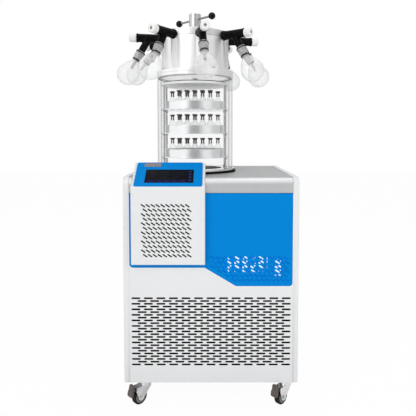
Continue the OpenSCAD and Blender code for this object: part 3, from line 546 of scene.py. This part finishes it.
def repeated(name, shape, finish, body, places, turns, size=1.0):
    # sets the shape on points with the tree, and keeps the result as one plain mesh
    mesh = bpy.data.meshes.new(name + "Points")
    mesh.from_pydata([tuple(p) for p in places], [], [])
    layer = mesh.attributes.new("turn", "FLOAT_VECTOR", "POINT")
    for k, turn in enumerate(turns):
        layer.data[k].vector = turn
    holder = placed(name + "Holder", mesh)
    modifier = holder.modifiers.new("set", "NODES")
    modifier.node_group = onPoints
    ids = {item.name: item.identifier for item in onPoints.interface.items_tree if item.in_out == "INPUT"}
    for label, value in {"Shape": shape, "Material": finishes[finish], "Size": size}.items():
        modifier[ids[label]] = value
    made = plainMesh(holder)
    bpy.data.objects.remove(holder)
    bpy.data.objects.remove(shape)
    made.name = name
    piece = placed(name, made)
    for old in [a.name for a in made.attributes if a.name == "turn"]:
        made.attributes.remove(made.attributes[old])
    giveFinish(piece, finish)
    made.set_sharp_from_angle(angle=sharp["piece"])
    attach(piece, body)
    print(" ", name, len(made.polygons), "faces")
    return piece


# cabinet
cabinet = {"edge": 0.0035, "houseEdge": 0.006, "houseDepth": 0.25, "long": 0.2, "near": 0.002,
           "slopeRun": 0.110, "slopeDrop": 0.076}
houseLow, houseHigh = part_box("control_housing")
sideLow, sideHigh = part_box("left_side_panel")
rightLow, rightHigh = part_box("right_side_panel")


def houseEdge(mid, a, b):
    # the housing's free side edges, and the long ones along its front and top
    near = cabinet["near"]
    onSide = min(abs(mid.x - houseLow.x), abs(mid.x - houseHigh.x)) < onFace
    onSide = onSide and mid.y < sideLow.y + cabinet["houseDepth"] and abs(mid.y - sideLow.y) >= near
    long = abs(a.x - b.x) > cabinet["long"]
    return onSide or long and (mid.y < houseLow.y + near or mid.z > houseHigh.z - near)


def sideEdge(outer, inner, front):
    # a side panel's outer edges, and its front ones away from the inner face
    return lambda mid, a, b: (abs(mid.x - outer) < onFace
                              or abs(mid.y - front) < onFace and abs(mid.x - inner) > 0.001)


softened("control_housing", "housingShell", "ventedGrey", houseEdge, cabinet["houseEdge"])
softened("left_side_panel", "leftSidePanel", "powderGrey", sideEdge(sideLow.x, sideHigh.x, sideLow.y),
         cabinet["edge"])
softened("right_side_panel", "rightSidePanel", "powderGrey", sideEdge(rightHigh.x, rightLow.x, rightLow.y),
         cabinet["edge"])

panelSeal = {"step": 0.064, "corner": 0.012, "stepFrom": -0.022, "stepTo": 0.085, "gap": 0.0002, "inner": -0.0008,
             "outer": 0.0015, "proud": 0.0004, "shoulder": 0.00012, "depth": 0.0016}


def sealPath(grow):
    # down the blue panel's left side, along its stepped lower edge and up its right side
    low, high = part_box("blue_front_panel")
    mid, r, out = (low.x + high.x) / 2, panelSeal["corner"], panelSeal["gap"] + grow
    x0, x1, z1 = low.x - out, high.x + out, low.z - out
    z0 = z1 + panelSeal["step"]
    path = [(x0, high.z)] + arc(x0 + r, z0 + r, r, 180, 270, 6)
    path += [(mid + panelSeal["stepFrom"], z0), (mid + panelSeal["stepTo"], z1)]
    return path + arc(x1 - r, z1 + r, r, 270, 360, 6) + [(x1, high.z)]


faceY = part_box("blue_front_panel")[0].y
crest, shoulder, back = faceY - panelSeal["proud"], faceY - panelSeal["shoulder"], faceY + panelSeal["depth"]
points = []
for (ax, az), (bx, bz) in zip(sealPath(panelSeal["inner"]), sealPath(panelSeal["outer"])):
    points += [(ax, shoulder, az), ((ax + bx) / 2, crest, (az + bz) / 2), (bx, shoulder, bz), (bx, back, bz),
               (ax, back, az)]
faces = [(k + j, k + (j + 1) % 5, k + 5 + (j + 1) % 5, k + 5 + j)
         for k in range(0, len(points) - 5, 5) for j in range(5)]
faces += [tuple(range(5)), tuple(len(points) - 5 + j for j in range(5))]
addPiece("panelSealStrip", points, faces, "creamSeal", "cabinet")

slope = Matrix.Translation((0, houseLow.y, houseHigh.z - cabinet["slopeDrop"])) @ Matrix.Rotation(
    math.atan2(cabinet["slopeDrop"], cabinet["slopeRun"]), 4, "X")


def slab(x0, x1, y0, y1, z0, z1, corner, edge, place):
    # a plate with rounded corners and a softened front edge
    corners = [(x1 - corner, y1 - corner, 0), (x0 + corner, y1 - corner, 90),
               (x0 + corner, y0 + corner, 180), (x1 - corner, y0 + corner, 270)]
    loops = []
    for inset, z in ((0, z0), (0, z1 - edge), (edge * 0.3, z1 - edge * 0.3), (edge, z1)):
        r = max(corner - inset, 1e-4)
        loops.append([(x, y, z) for cx, cy, a in corners for x, y in arc(cx, cy, r, a, a + 90, 6)])
    count = len(loops[0])
    points = [place @ Vector(p) for loop in loops for p in loop]
    faces = [(k * count + j, k * count + (j + 1) % count, (k + 1) * count + (j + 1) % count, (k + 1) * count + j)
             for k in range(3) for j in range(count)]
    return points, faces + [tuple(reversed(range(count))), tuple(range(3 * count, 4 * count))]


screenLow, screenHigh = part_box("touch_screen")
screen = {"x0": screenLow.x, "x1": screenHigh.x, "y0": 0.0201, "y1": 0.0909, "z0": -0.0036, "z1": 0.0014,
          "corner": 0.0016, "edge": 0.0006}
screenLook = {  # places are shares of the screen's width and height, columns and keys from the left
    "columns": (0.05, 0.32, 0.59), "lines": ((0.76, 0.13), (0.58, 0.17), (0.42, 0.1)),
    "tabs": (0.08, 0.24, 0.4, 0.56, 0.72), "keys": (0.14, 0.36, 0.57, 0.78),
}


def screenFinish():
    f = Finish("touchScreen", **{"Specular IOR Level": 0.03, "Emission Strength": 0.42})
    uv = f.node("ShaderNodeUVMap", {"uv_map": "face"})
    u, v = f.axis(0, uv), f.axis(1, uv)
    grime = f.noise(30, 4, 0.6)

    def bar(x0, x1, y0, y1, soft=0.004):
        across = u.ramp(x0 - soft, x0 + soft) * u.ramp(x1 + soft, x1 - soft)
        return across * v.ramp(y0 - soft, y0 + soft) * v.ramp(y1 + soft, y1 - soft)

    colour = f.blend(bar(0.02, 0.98, 0.04, 0.96), srgb(15, 15, 18), srgb(19, 20, 25))
    for x0 in screenLook["columns"]:
        border = bar(x0, x0 + 0.25, 0.3, 0.92) - bar(x0 + 0.006, x0 + 0.244, 0.315, 0.905)
        colour = f.blend(border.clip() * 0.8, colour, srgb(48, 53, 66))
        for y0, long in screenLook["lines"]:
            colour = f.blend(bar(x0 + 0.03, x0 + 0.03 + long, y0, y0 + 0.05, 0.01) * 0.7, colour, srgb(52, 60, 80))
    low = v.ramp(0.34, 0.06) * bar(0.03, 0.86, 0.04, 0.5)
    colour = f.blend(low * 0.8, colour, srgb(34, 30, 96))
    for x0 in screenLook["tabs"]:
        colour = f.blend(bar(x0, x0 + 0.1, 0.1, 0.17, 0.008) * 0.8, colour, srgb(66, 62, 148))
    for y0 in screenLook["keys"]:
        colour = f.blend(bar(0.895, 0.955, y0, y0 + 0.12, 0.006) * 0.9, colour, srgb(42, 60, 128))
        colour = f.blend(bar(0.91, 0.94, y0 + 0.035, y0 + 0.085, 0.006) * 0.8, colour, srgb(96, 128, 190))
    return f.close(base=(0.003, 0.003, 0.004), glow=colour, rough=(grime - 0.5) * 0.12 + 0.3,
                   coat=(grime - 0.5) * 0.03)


finishes["touchScreen"] = screenFinish()
piece = addPiece("touchScreenFace", *slab(*screen.values(), Matrix.Identity(4)), "touchScreen", None)
sheet = piece.data.uv_layers.new(name="face")
for loop in piece.data.loops:
    p = piece.data.vertices[loop.vertex_index].co
    sheet.data[loop.index].uv = ((p.x - screen["x0"]) / (screen["x1"] - screen["x0"]),
                                 (p.y - screen["y0"]) / (screen["y1"] - screen["y0"]))
piece.data.transform(slope)
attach(piece, "cabinet")
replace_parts(piece, "touch_screen")


def screwShape(radius, height):
    # a round head with a hexagon socket
    recess = radius * 0.42
    profile = [(1e-5, -0.0004), (radius, -0.0004), (radius, height * 0.35), (radius * 0.93, height * 0.72),
               (radius * 0.72, height), (recess, height), (recess, height * 0.45), (1e-5, height * 0.4)]

    def hexed(a, j):
        return 0.9 / math.cos((a + math.pi / 6) % (math.pi / 3) - math.pi / 6) if j in (5, 6) else 1
    return addPiece("screwShape", *turned(profile, 24, closed=False, shape=hexed), None)


rearScrews = {"inset": 0.012, "head": 0.0036, "height": 0.0019, "across": 5, "up": 6}
low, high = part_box("rear_panel")
inset, places = rearScrews["inset"], []
for k in range(rearScrews["across"]):
    x = low.x + inset + (high.x - low.x - 2 * inset) * k / (rearScrews["across"] - 1)
    places += [(x, high.y, low.z + inset), (x, high.y, high.z - inset)]
for k in range(1, rearScrews["up"]):
    z = low.z + inset + (high.z - low.z - 2 * inset) * k / rearScrews["up"]
    places += [(low.x + inset, high.y, z), (high.x - inset, high.y, z)]
repeated("rearPanelScrews", screwShape(rearScrews["head"], rearScrews["height"]), "zincSteel", "cabinet", places,
         [(rad(-90), rad(k * 37), 0) for k in range(len(places))])

inletScrews = {"inset": 0.0045, "head": 0.0024, "height": 0.0011}
low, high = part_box("power_inlet")
places = [(x, high.y, (low.z + high.z) / 2) for x in (low.x + inletScrews["inset"], high.x - inletScrews["inset"])]
repeated("inletScrews", screwShape(inletScrews["head"], inletScrews["height"]), "zincSteel", "cabinet", places,
         [(rad(-90), 0.3, 0), (rad(-90), 1.1, 0)])


def pleated(name, x0, x1, z0, z1, y, finish, pleat=0.006, deep=0.0022):
    # a sheet folded into upright pleats, closed at the back
    steps = int((x1 - x0) / pleat) * 2
    front = [(x0 + (x1 - x0) * k / steps, y + (deep if k % 2 else 0)) for k in range(steps + 1)]
    outline = front + [(x1, y + deep + 0.001), (x0, y + deep + 0.001)]
    n, half = len(outline), steps // 2
    points = [(x, d, z) for z in (z0, z1) for x, d in outline]
    faces = [(j, (j + 1) % n, n + (j + 1) % n, n + j) for j in range(n)]
    faces += [(k, k + 1, n - 1) for k in range(half)] + [(k, k + 1, n - 2) for k in range(half, steps)]
    faces += [(half, n - 2, n - 1)]
    faces += [tuple(n + v for v in reversed(f)) for f in faces[n:]]
    addPiece(name, points, faces, finish, "cabinet", smooth=False)


liner = {"pleat": 0.0277, "deep": 0.0008, "speck": 0.0168,
         "field": (0.088, 0.224, 0.468, 0.538, 0.006, 0.006),  # left, right, bottom, top and how soft these two are
         "corner": (0.25, 0.27, 0.455, 0.516, 0.005, 0.004)}


def blueLiner():
    # blue behind the panel's holes, glowing by itself as painted light, with pale specks painted as light showing
    # through the holes, and dark on the side inside the cabinet
    f = Finish("blueLiner", **{"Specular IOR Level": 0.05, "Emission Strength": 0.5})
    x, z, cloud = f.axis(0), f.axis(2), f.noise(45, 3)

    def patch(left, right, bottom, top, softLow, softHigh):
        return (x > left) * (x < right) * z.ramp(bottom, bottom + softLow) * z.ramp(top, top - softHigh)

    louvreLight = ((x % liner["pleat"]) < liner["speck"]) * patch(*liner["field"])
    lit = (louvreLight + patch(*liner["corner"])).clip() * (cloud > 0.42)
    base = f.blend(cloud.ramp(0.3, 0.7), srgb(0, 112, 196), srgb(0, 100, 184))
    colour = f.blend(lit, base, srgb(244, 249, 252))
    behind = f.axis(1, f.node("ShaderNodeTexCoord", out=1)).ramp(-0.1, 0.1)
    colour = f.blend(behind, colour, srgb(6, 6, 7))
    return f.close(base=colour, glow=colour, rough=(cloud - 0.5) * 0.2 + 0.6)


finishes["blueLiner"] = blueLiner()
sheetsBehind = {"behind": 0.0012, "side": 0.006, "houseWall": 0.0036, "linerLeft": 0.002, "linerBottom": 0.008,
           "linerTop": 0.13}
low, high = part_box("lower_front_panel")
bottom, top = slotted["lower_front_panel"][1:]
# painted shade: near-black pleated sheets behind the slots stand in for the shade inside the cabinet
pleated("lowerFilter", low.x + sheetsBehind["side"], high.x - sheetsBehind["side"], low.z + bottom, low.z + top,
        high.y + sheetsBehind["behind"], "ventShade")
side, bottom, top = slotted["control_housing"]
pleated("housingFilter", houseLow.x + side, houseHigh.x - side, houseLow.z + bottom, houseLow.z + top,
        houseLow.y + sheetsBehind["houseWall"], "ventShade")
low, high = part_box("blue_front_panel")
pleated("blueLinerPanel", houseHigh.x + sheetsBehind["linerLeft"], high.x - sheetsBehind["side"],
        low.z + sheetsBehind["linerBottom"], low.z + sheetsBehind["linerTop"], high.y + sheetsBehind["behind"], "blueLiner",
        liner["pleat"], liner["deep"])
print("cabinet done")

# casters
caster = {"trail": rad(225), "radius": 0.027, "width": 0.020, "hub": 0.0195, "bore": 0.0042, "round": 0.0046,
          "groove": 0.0007}
r, w, h, b, s = caster["radius"], caster["width"] / 2, caster["hub"], caster["bore"], caster["round"]
tread = mirrored([(h, -w + 0.0012), (h + 0.001, -w), (r - 0.005, -w)] + arc(r - s, -w + s, s, -90, -8, 5)
                 + [(r, -0.0008)], [(r - caster["groove"], 0)])
core = mirrored([(b, -w + 0.001), (b + 0.0045, -w + 0.001), (b + 0.0055, -w + 0.0035), (h - 0.004, -w + 0.0035),
                 (h - 0.0025, -w + 0.0006), (h, -w + 0.0006)])
for k in range(1, 5):
    place = (Matrix.Translation(centre(f"caster_wheel_{k}")) @ Matrix.Rotation(caster["trail"], 4, "Z")
             @ Matrix.Rotation(rad(90), 4, "X"))
    tyre = addPiece(f"casterTyre{k}", *turned(tread, 72, place), "tyreRubber", f"wheel_{k}")
    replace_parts(tyre, f"caster_wheel_{k}")
    addPiece(f"casterHub{k}", *turned(core, 60, place), "capGrey", f"wheel_{k}")
print("casters done")

# chamber
wall = {"outer": 0.1485, "inner": 0.1365, "edge": 0.0009}
low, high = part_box("acrylic_cylinder")
axisX = centre("acrylic_cylinder").x
atAxis = Matrix.Translation((axisX, 0, 0))
e, inner, outer = wall["edge"], wall["inner"] + wall["edge"], wall["outer"] - wall["edge"]
ring = arc(inner, low.z + e, e, 180, 270, 3) + arc(outer, low.z + e, e, 270, 360, 3)
ring += arc(outer, high.z - e, e, 0, 90, 3) + arc(inner, high.z - e, e, 90, 180, 3)
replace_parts(addPiece("acrylicWall", *turned(ring, 192, atAxis), "acrylic", "cabinet"), "acrylic_cylinder")

trayRim = {"radius": 0.1142, "drop": 0.0009, "size": 0.0014, "shelf": 0.003, "count": 3}
shelfLow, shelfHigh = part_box("rack_shelves")
trayStep = (shelfHigh.z - shelfLow.z - trayRim["shelf"]) / (trayRim["count"] - 1)
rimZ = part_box("product_trays")[1].z - (trayRim["count"] - 1) * trayStep - trayRim["drop"]
bead = turned(wireRing(trayRim["radius"], rimZ, trayRim["size"]), 120, atAxis)
points, faces = [], []
for k in range(trayRim["count"]):
    faces += [tuple(i + len(points) for i in f) for f in bead[1]]
    points += [Vector(p) + Vector((0, 0, k * trayStep)) for p in bead[0]]
addPiece("trayRims", points, faces, "shelfSteel", "cabinet")

drum = {"bandAt": 0.005, "sideFrom": 0.12, "edge": 0.0035}
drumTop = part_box("manifold_drum")[1].z


def drumShoulder(mid, a, b):
    onBand = abs(mid.z - (drumTop - drum["bandAt"])) < onFace
    return onBand and (mid.xy - Vector((axisX, 0))).length > drum["sideFrom"]


softened("manifold_drum", "manifoldDrum", "rolledDrum", drumShoulder, drum["edge"], 4)

pressSeal = {"radius": 0.1205, "up": 0.0104, "size": 0.0021}
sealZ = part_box("press_plate")[0].z + pressSeal["up"]
addPiece("pressSealRing", *turned(wireRing(pressSeal["radius"], sealZ, pressSeal["size"]), 128, atAxis),
         "gasketRubber", "press")

baffle = {"radius": 0.1234, "hole": 0.0125, "low": 0.0012, "thick": 0.0015, "edge": 0.0004}
flangeLow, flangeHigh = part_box("lid_flange")
low, e = flangeLow.z + baffle["low"], baffle["edge"]
ring = [(baffle["hole"], low + e), (baffle["hole"] + e, low), (baffle["radius"] - e, low), (baffle["radius"], low + e),
        (baffle["radius"], low + baffle["thick"]), (baffle["hole"], low + baffle["thick"])]
addPiece("drumBaffle", *turned(ring, 128, atAxis), "baffleSteel", "cabinet")

weld = {"radius": 0.1317, "size": 0.0019, "up": 0.0006, "waves": 150, "deep": 0.0013}
ring = [(weld["radius"] + x, flangeHigh.z + weld["up"] + z) for x, z in arc(0, 0, weld["size"], -60, 150, 6)]


def rippled(a, j):
    return 1 + weld["deep"] * abs(math.sin(a * weld["waves"] / 2)) * (0 < j < 6)


addPiece("drumWeld", *turned(ring, 600, atAxis, True, rippled), "bareSteel", "cabinet")
print("chamber done")

# manifold
valve = {"turns": [k * 45 - 80 for k in range(8)], "swings": [0, 0, 0, 0, 0, 26, 0, 0],
         "axisZ": centre("valve_knob_1").z, "armAt": 0.180, "armTilt": 60, "voxel": 0.0017}
mesh = bpy.data.meshes.new("valveRubber")
body = copyOf("valve_bodies")
bmesh.ops.triangulate(body, faces=body.faces)
body.to_mesh(mesh)
body.free()
piece = placed("valveRubber", mesh)
remesh = piece.modifiers.new("even", "REMESH")
remesh.mode, remesh.voxel_size = "VOXEL", valve["voxel"]
smooth = piece.modifiers.new("moulded", "SMOOTH")
smooth.factor, smooth.iterations = 0.5, 4
piece.data = plainMesh(piece)
piece.data.shade_smooth()
giveFinish(piece, "blackRubber")
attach(piece, "cabinet")
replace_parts(piece, "valve_bodies")
print("  valveRubber", len(piece.data.polygons), "faces")

arm = Matrix.Translation((valve["armAt"], 0, 0)) @ Matrix.Rotation(rad(90 + valve["armTilt"]), 4, "Y")
valvePlaces = [(axisX, 0, valve["axisZ"])] * len(valve["turns"])
valveTurns = [(rad(swing), 0, rad(turn)) for swing, turn in zip(valve["swings"], valve["turns"])]

flask = {"at": 0.160, "bulb": 0.043, "glass": 0.0018, "mouth": 0.0765, "neck": 0.0103, "bore": 0.0087,
         "shoulder": [(0.0103, 0.0985), (0.0118, 0.1012), (0.0158, 0.1052), (0.0216, 0.1122), (0.0278, 0.1212),
                      (0.0336, 0.1315), (0.0384, 0.1418), (0.0417, 0.1515)]}


def bulbArc(r, angles):
    return [(r * math.sin(rad(a)), flask["at"] - r * math.cos(rad(a))) for a in angles]


r, t = flask["bulb"], flask["glass"]
outside = [(flask["neck"], flask["mouth"])] + flask["shoulder"] + bulbArc(r, range(86, 180, 6))
inside = [(1e-5, flask["at"] + r - t)] + bulbArc(r - t, range(176, 82, -8))
inside += [(x - t, z + 0.0008) for x, z in reversed(flask["shoulder"])] + [(flask["bore"], flask["mouth"])]
shape = addPiece("flaskShape", *turned(outside + [(1e-5, flask["at"] + r)] + inside, 72, arm), None)
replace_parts(repeated("glassFlasks", shape, "flaskGlass", "cabinet", valvePlaces, valveTurns), "flasks")

joint = {  # outlines round the arm
    "band": [(0.0181, 0.0625), (0.0187, 0.063), (0.0187, 0.0662), (0.0181, 0.0667), (0.0176, 0.0646)],
    "tipRing": [(0.0151, 0.0935), (0.0162, 0.0942), (0.0157, 0.0986), (0.0148, 0.0994), (0.0142, 0.0965)],
}
for name, part, finish in (("jointBands", "band", "blackRubber"), ("jointTipRings", "tipRing", "tipRubber")):
    shape = addPiece(part + "Shape", *turned(joint[part], 48, arm), None)
    repeated(name, shape, finish, "cabinet", valvePlaces, valveTurns)

knobCap = {"at": 0.253, "outline": [(1e-5, -0.0004), (0.0049, -0.0004), (0.0049, 0.0006), (0.0043, 0.0012),
                                    (0.003, 0.0012), (0.0026, 0.0005), (1e-5, 0.0005)]}
for k, turn in enumerate(valve["turns"], 1):
    place = (atAxis @ Matrix.Rotation(rad(turn), 4, "Z") @ Matrix.Translation((knobCap["at"], 0, valve["axisZ"]))
             @ Matrix.Rotation(rad(90), 4, "Y"))
    addPiece(f"knobCap{k}", *turned(knobCap["outline"], 32, place, closed=False), "capGrey", f"knob_{k}")
print("manifold done")

# studio
studio = {
    "eye": (0.0319, -1.7819, 0.9449), "pitch": 2.91, "focal": 447.2, "frameSide": 416, "shift": (-0.0079, -0.125),
    "sensor": 36, "world": 0.55, "floor": 0.93, "floorGlow": 0.97, "floorHalf": 9,
    "lamps": [  # name, place, aim, size, watts
        ("keyLamp", (-1.7, -2.3, 2.5), (0, 0, 0.8), 1.8, 33),
        ("fillLamp", (2.1, -1.9, 1.5), (0, 0, 0.7), 1.6, 16),
        ("topLamp", (0.1, 0.2, 3.1), (0, 0, 0.8), 1.6, 9),
        ("backLamp", (0.6, 2.6, 1.9), (0, 0, 0.8), 1.8, 12),
        ("lowLamp", (0.2, -2.5, 0.5), (0, 0, 0.25), 1.4, 6),
    ],
}
camera = placed("camera", bpy.data.cameras.new("camera"))
camera.data.sensor_width = studio["sensor"]
camera.data.lens = studio["focal"] / studio["frameSide"] * studio["sensor"]
camera.data.shift_x, camera.data.shift_y = studio["shift"]
camera.location = studio["eye"]
camera.rotation_euler = (rad(90 - studio["pitch"]), 0, 0)
bpy.context.scene.camera = camera
bpy.context.scene.view_settings.view_transform = "Standard"
bpy.context.scene.cycles.transparent_max_bounces = 32  # a ray crosses the chamber wall, vials and flasks

world = bpy.data.worlds.new("studio")
bpy.context.scene.world = world
world.use_nodes = True
sky = Shop(world.node_tree)
sky.tree.nodes.clear()
ray = sky.node("ShaderNodeLightPath")
seen = ray.sister("Is Camera Ray") + ray.sister("Is Glossy Ray") + ray.sister("Is Transmission Ray")
strength = seen.clip() * (1 - studio["world"]) + studio["world"]
back = sky.node("ShaderNodeBackground", {}, {"Color": (1, 1, 1), "Strength": strength})
sky.node("ShaderNodeOutputWorld", {}, {"Surface": back})

for name, place, aim, size, watts in studio["lamps"]:
    lamp = placed(name, bpy.data.lights.new(name, "AREA"))
    lamp.data.size, lamp.data.energy = size, watts
    lamp.location = place
    lamp.rotation_euler = (Vector(aim) - Vector(place)).to_track_quat("-Z", "Y").to_euler()
    lamp.visible_camera = False
    lamp.visible_glossy = name in ("keyLamp", "topLamp")

card = {"far": 3.1, "low": -0.2, "high": 2.6, "sides": 60,  # greys by the turn from the front, right side positive
        "greys": [(-180, 1), (-166, 1), (-158, 0.3), (-132, 0.3), (-122, 1), (-34, 1), (-14, 0.24), (12, 0.24),
                  (36, 0.85), (60, 0.85), (74, 0.55), (118, 0.6), (150, 0.45), (162, 0.9), (180, 1)]}
points, faces = [], []
for k in range(card["sides"]):
    a = rad(k * 360 / card["sides"])
    points += [(card["far"] * math.sin(a), -card["far"] * math.cos(a), z) for z in (card["low"], card["high"])]
    n = (k + 1) % card["sides"]
    faces.append((2 * k, 2 * n, 2 * n + 1, 2 * k + 1))
cardMesh = bpy.data.meshes.new("greyCard")
cardMesh.from_pydata(points, [], faces)
greyCard = placed("greyCard", cardMesh)
tone = Finish("cardTone")
turn = tone.axis(0).reckon("ARCTAN2", tone.axis(0), 0 - tone.axis(1)) / (2 * math.pi) + 0.5
stops = [((a + 180) / 360, (g, g, g)) for a, g in card["greys"]]
fade = tone.node("ShaderNodeValToRGB", {"stops": stops}, {"Fac": turn})
shine = tone.node("ShaderNodeEmission", {}, {"Color": fade, "Strength": 1.0})
tone.node("ShaderNodeOutputMaterial", {}, {"Surface": shine})
cardMesh.materials.append(tone.material)
greyCard.visible_camera = greyCard.visible_diffuse = greyCard.visible_shadow = greyCard.visible_transmission = False

floorMesh, half = bpy.data.meshes.new("floor"), studio["floorHalf"]
floorMesh.from_pydata([(-half, -half, 0), (half, -half, 0), (half, half, 0), (-half, half, 0)], [], [(0, 1, 2, 3)])
floor = placed("floor", floorMesh)
ground = Finish("paleFloor")
spot = ground.noise(2.0, 2)
pale = (studio["floor"],) * 3
matt = ground.node("ShaderNodeBsdfDiffuse", {}, {"Color": ground.blend(spot, pale, dimmed(pale, 0.985))})
glow = ground.node("ShaderNodeEmission", {}, {"Color": (1, 1, 1), "Strength": 1.0})
path = ground.node("ShaderNodeLightPath", out=0)
shade = ground.node("ShaderNodeMixShader", {}, {0: path * studio["floorGlow"], 1: matt, 2: glow})
ground.node("ShaderNodeOutputMaterial", {}, {"Surface": shade})
floorMesh.materials.append(ground.material)
print("studio ready")
